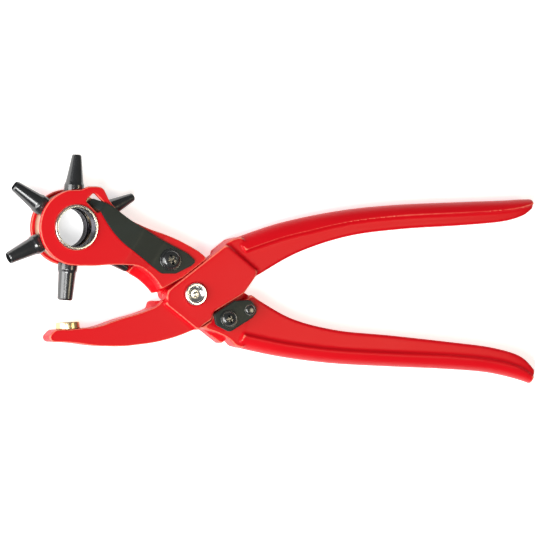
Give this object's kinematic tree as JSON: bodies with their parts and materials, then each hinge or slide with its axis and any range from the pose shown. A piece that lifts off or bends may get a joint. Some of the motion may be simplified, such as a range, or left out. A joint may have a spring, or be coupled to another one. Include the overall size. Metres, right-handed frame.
{
  "type": "rotary hole punch",
  "caption": "Hand pliers for leather with an indexing wheel of tube punches over a brass anvil, sprung open, with a swivelling catch.",
  "frame": {"origin": "on the main pivot's axis, in the plane that the tool rests on, at the flat end of the pivot nut", "axes": "+X from the pivot towards the handles, +Y towards the punch wheel's side, +Z from the far side up to the near side with the index spring and catch"},
  "size_m": [0.2183, 0.0894, 0.0171],
  "materials": {
    "red_coating": "gloss powder coat",
    "black_steel": "blackened, satin",
    "blued_steel": "polished black",
    "bright_steel": "turned, bright",
    "wheel_steel": "yellow passivated, turned",
    "brass": "turned"
  },
  "bodies": {
    "head_lever": {"head_lever": "red_coating", "near_bush": "bright_steel", "far_bush": "bright_steel", "pivot_bolt": "bright_steel", "pivot_nut": "bright_steel", "opening_spring": "bright_steel", "index_spring": "black_steel", "index_screw": "black_steel", "catch_screw": "black_steel"},
    "anvil_lever": {"anvil_lever": "red_coating", "anvil": "brass"},
    "punch_wheel": {"punch_wheel": "wheel_steel", "punch_5_0mm": "blued_steel", "punch_4_0mm": "blued_steel", "punch_3_5mm": "blued_steel", "punch_3_0mm": "blued_steel", "punch_2_5mm": "blued_steel", "punch_2_0mm": "blued_steel"},
    "catch": {"catch_plate": "black_steel", "catch_knob": "black_steel", "catch_washer": "bright_steel"}
  },
  "joints": [
    {"name": "lever_pivot", "type": "hinge", "parent": "head_lever", "child": "anvil_lever", "pos_m": [0, 0, 0.0075], "axis": [0, 0, 1], "range_deg": [-9.3, 0], "stiffness_Nm_per_rad": 0.6, "springref_deg": 20.05, "deforming": ["opening_spring"]},
    {"name": "wheel_spin", "type": "hinge", "parent": "head_lever", "child": "punch_wheel", "pos_m": [-0.0493, 0.026, 0.0075], "axis": [0, 0, 1], "continuous": true, "deforming": ["index_spring"]},
    {"name": "catch_swivel", "type": "hinge", "parent": "head_lever", "child": "catch", "pos_m": [0.0132, -0.0097, 0.0145], "axis": [0, 0, 1], "range_deg": [0, 20]}
  ]
}
